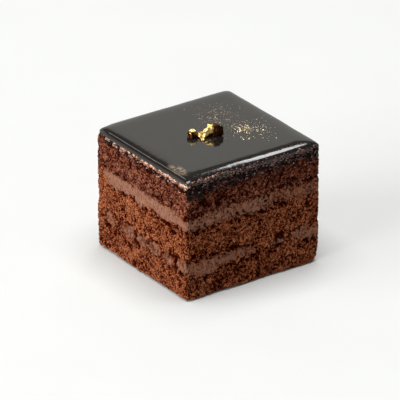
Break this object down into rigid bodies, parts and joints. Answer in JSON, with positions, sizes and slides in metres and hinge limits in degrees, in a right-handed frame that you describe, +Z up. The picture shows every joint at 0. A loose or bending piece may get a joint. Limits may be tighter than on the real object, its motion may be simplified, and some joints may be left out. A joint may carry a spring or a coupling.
{
  "type": "chocolate layer cake slice",
  "caption": "Square slice of chocolate layer cake: dark sponge with chocolate cream between, a mirror glaze on top, gold leaf and gold dust.",
  "frame": {"origin": "middle of the flat foot that the slice stands on, at the bottom centre of the whole", "axes": "+Z up through the layers, +X and +Y square to the cut faces; the picture shows the -X face on its left and the -Y face on its right"},
  "size_m": [0.0654, 0.064, 0.0583],
  "materials": {
    "sponge": "open, moist chocolate crumb",
    "cream": "smooth chocolate cream, wiped by the knife",
    "mirror_glaze": "wet mirror gloss",
    "gold": "crumpled bright leaf"
  },
  "bodies": {
    "root": {"sponge_bottom": "sponge", "cream_lower": "cream", "sponge_middle": "sponge", "cream_upper": "cream", "sponge_top": "sponge", "glaze": "mirror_glaze", "gold_leaf": "gold"}
  },
  "joints": []
}
